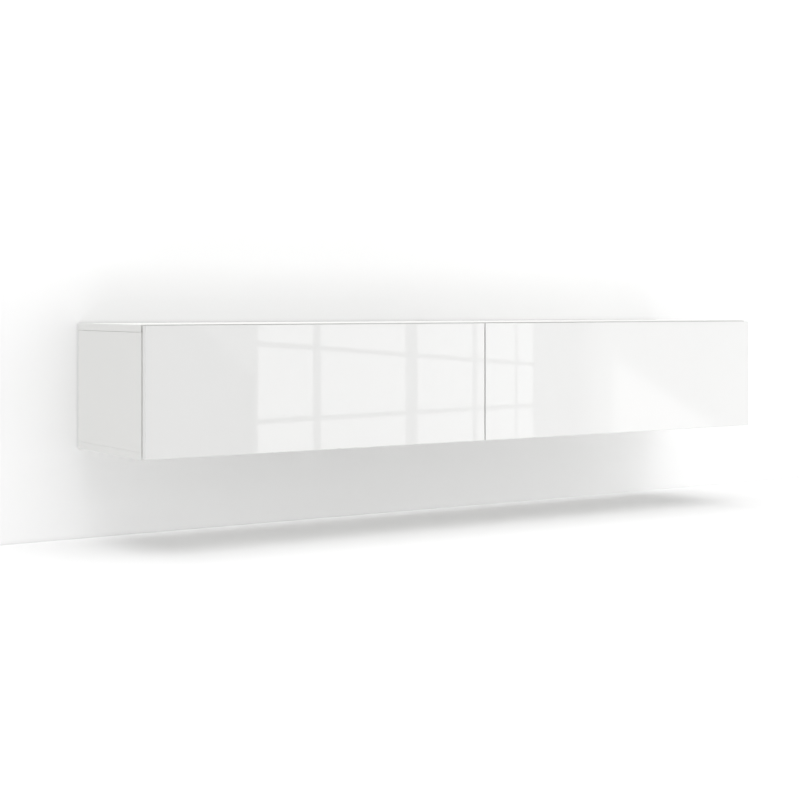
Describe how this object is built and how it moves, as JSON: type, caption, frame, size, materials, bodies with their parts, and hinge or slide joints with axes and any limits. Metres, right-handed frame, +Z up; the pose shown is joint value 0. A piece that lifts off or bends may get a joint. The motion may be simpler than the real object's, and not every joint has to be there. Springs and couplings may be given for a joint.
{
  "type": "floating media console",
  "caption": "Long low wall-hung media console in matt white board, with lift-up high gloss fronts on concealed hinges with spring lifts and push latches.",
  "frame": {"origin": "centre of the console's back, in the plane of the wall it hangs on", "axes": "+X to the right along the length seen from the front, +Y back into the wall, +Z up; the fronts face -Y"},
  "size_m": [1.8, 0.37, 0.29],
  "materials": {
    "case_board": "matt white melamine-faced particle board",
    "front_board": "high gloss white faced board",
    "back_board": "white printed hardboard",
    "nickel_steel": "nickel-plated pressed steel",
    "zinc_steel": "zinc-plated steel",
    "grey_plastic": "moulded light grey plastic",
    "white_plastic": "moulded white plastic",
    "dark_plastic": "moulded dark grey plastic",
    "clear_silicone": "cast clear silicone"
  },
  "bodies": {
    "case": {"top_panel": "case_board", "bottom_panel": "case_board", "left_side_panel": "case_board", "right_side_panel": "case_board", "centre_partition": "case_board", "left_back_panel": "back_board", "left_wall_rail": "zinc_steel", "left_lift_housing": "grey_plastic", "left_latch_housing": "white_plastic", "right_back_panel": "back_board", "right_wall_rail": "zinc_steel", "right_lift_housing": "grey_plastic", "right_latch_housing": "white_plastic", "hinge_1_arm": "nickel_steel", "hinge_1_plate": "nickel_steel", "hanger_1_housing": "white_plastic", "hanger_1_hook": "zinc_steel", "hinge_2_arm": "nickel_steel", "hinge_2_plate": "nickel_steel", "hanger_2_housing": "white_plastic", "hanger_2_hook": "zinc_steel", "hinge_3_arm": "nickel_steel", "hinge_3_plate": "nickel_steel", "hanger_3_housing": "white_plastic", "hanger_3_hook": "zinc_steel", "hinge_4_arm": "nickel_steel", "hinge_4_plate": "nickel_steel", "hanger_4_housing": "white_plastic", "hanger_4_hook": "zinc_steel"},
    "left_flap": {"left_flap_panel": "front_board", "left_flap_bracket": "nickel_steel", "left_strike_plate": "nickel_steel", "hinge_1_cup": "nickel_steel", "hinge_2_cup": "nickel_steel"},
    "left_outer_links": {"hinge_1_outer_link": "nickel_steel", "hinge_2_outer_link": "nickel_steel"},
    "left_inner_links": {"hinge_1_inner_link": "nickel_steel", "hinge_2_inner_link": "nickel_steel"},
    "left_lift_lever": {"left_lift_lever": "nickel_steel"},
    "left_lift_link": {"left_lift_link": "nickel_steel"},
    "left_latch_plunger": {"left_latch_plunger": "dark_plastic"},
    "right_flap": {"right_flap_panel": "front_board", "right_flap_bracket": "nickel_steel", "right_strike_plate": "nickel_steel", "hinge_3_cup": "nickel_steel", "hinge_4_cup": "nickel_steel"},
    "right_outer_links": {"hinge_3_outer_link": "nickel_steel", "hinge_4_outer_link": "nickel_steel"},
    "right_inner_links": {"hinge_3_inner_link": "nickel_steel", "hinge_4_inner_link": "nickel_steel"},
    "right_lift_lever": {"right_lift_lever": "nickel_steel"},
    "right_lift_link": {"right_lift_link": "nickel_steel"},
    "right_latch_plunger": {"right_latch_plunger": "dark_plastic"}
  },
  "joints": [
    {"name": "left_outer_link_swing", "type": "hinge", "parent": "case", "child": "left_outer_links", "pos_m": [-0.44975, -0.358, 0.117], "axis": [-1, 0, 0], "range_deg": [-30.2, 0]},
    {"name": "left_flap_lift", "type": "hinge", "parent": "left_outer_links", "child": "left_flap", "pos_m": [-0.44975, -0.36027, 0.13367], "axis": [-1, 0, 0], "range_deg": [0, 120.14]},
    {"name": "left_inner_link_swing", "type": "hinge", "parent": "case", "child": "left_inner_links", "pos_m": [-0.44975, -0.36, 0.111], "axis": [-1, 0, 0], "range_deg": [-30.2, 0]},
    {"name": "left_lift_lever_swing", "type": "hinge", "parent": "case", "child": "left_lift_lever", "pos_m": [-0.866, -0.33326, 0.05824], "axis": [-1, 0, 0], "range_deg": [0, 90.1]},
    {"name": "left_lift_link_swing", "type": "hinge", "parent": "left_lift_lever", "child": "left_lift_link", "pos_m": [-0.8625, -0.31499, -0.04043], "axis": [-1, 0, 0], "range_deg": [-96.4, 0]},
    {"name": "left_latch_slide", "type": "slide", "parent": "case", "child": "left_latch_plunger", "axis": [0, -1, 0], "range_m": [0, 0.0351]},
    {"name": "right_outer_link_swing", "type": "hinge", "parent": "case", "child": "right_outer_links", "pos_m": [0.44975, -0.358, 0.117], "axis": [-1, 0, 0], "range_deg": [-30.2, 0]},
    {"name": "right_flap_lift", "type": "hinge", "parent": "right_outer_links", "child": "right_flap", "pos_m": [0.44975, -0.36027, 0.13367], "axis": [-1, 0, 0], "range_deg": [0, 120.14]},
    {"name": "right_inner_link_swing", "type": "hinge", "parent": "case", "child": "right_inner_links", "pos_m": [0.44975, -0.36, 0.111], "axis": [-1, 0, 0], "range_deg": [-30.2, 0]},
    {"name": "right_lift_lever_swing", "type": "hinge", "parent": "case", "child": "right_lift_lever", "pos_m": [0.866, -0.33326, 0.05824], "axis": [-1, 0, 0], "range_deg": [0, 90.1]},
    {"name": "right_lift_link_swing", "type": "hinge", "parent": "right_lift_lever", "child": "right_lift_link", "pos_m": [0.8625, -0.31499, -0.04043], "axis": [-1, 0, 0], "range_deg": [-96.4, 0]},
    {"name": "right_latch_slide", "type": "slide", "parent": "case", "child": "right_latch_plunger", "axis": [0, -1, 0], "range_m": [0, 0.0351]}
  ],
  "couplings": [
    {"joint": "left_outer_link_swing", "follows": "left_flap_lift", "ratio": -0.25087},
    {"joint": "left_inner_link_swing", "follows": "left_flap_lift", "ratio": -0.25087},
    {"joint": "left_lift_lever_swing", "follows": "left_flap_lift", "ratio": 0.74913},
    {"joint": "left_lift_link_swing", "follows": "left_flap_lift", "ratio": -0.80122},
    {"joint": "left_latch_slide", "follows": "left_flap_lift", "m_per_rad": 0.016692},
    {"joint": "right_outer_link_swing", "follows": "right_flap_lift", "ratio": -0.25087},
    {"joint": "right_inner_link_swing", "follows": "right_flap_lift", "ratio": -0.25087},
    {"joint": "right_lift_lever_swing", "follows": "right_flap_lift", "ratio": 0.74913},
    {"joint": "right_lift_link_swing", "follows": "right_flap_lift", "ratio": -0.80122},
    {"joint": "right_latch_slide", "follows": "right_flap_lift", "m_per_rad": 0.016692}
  ]
}
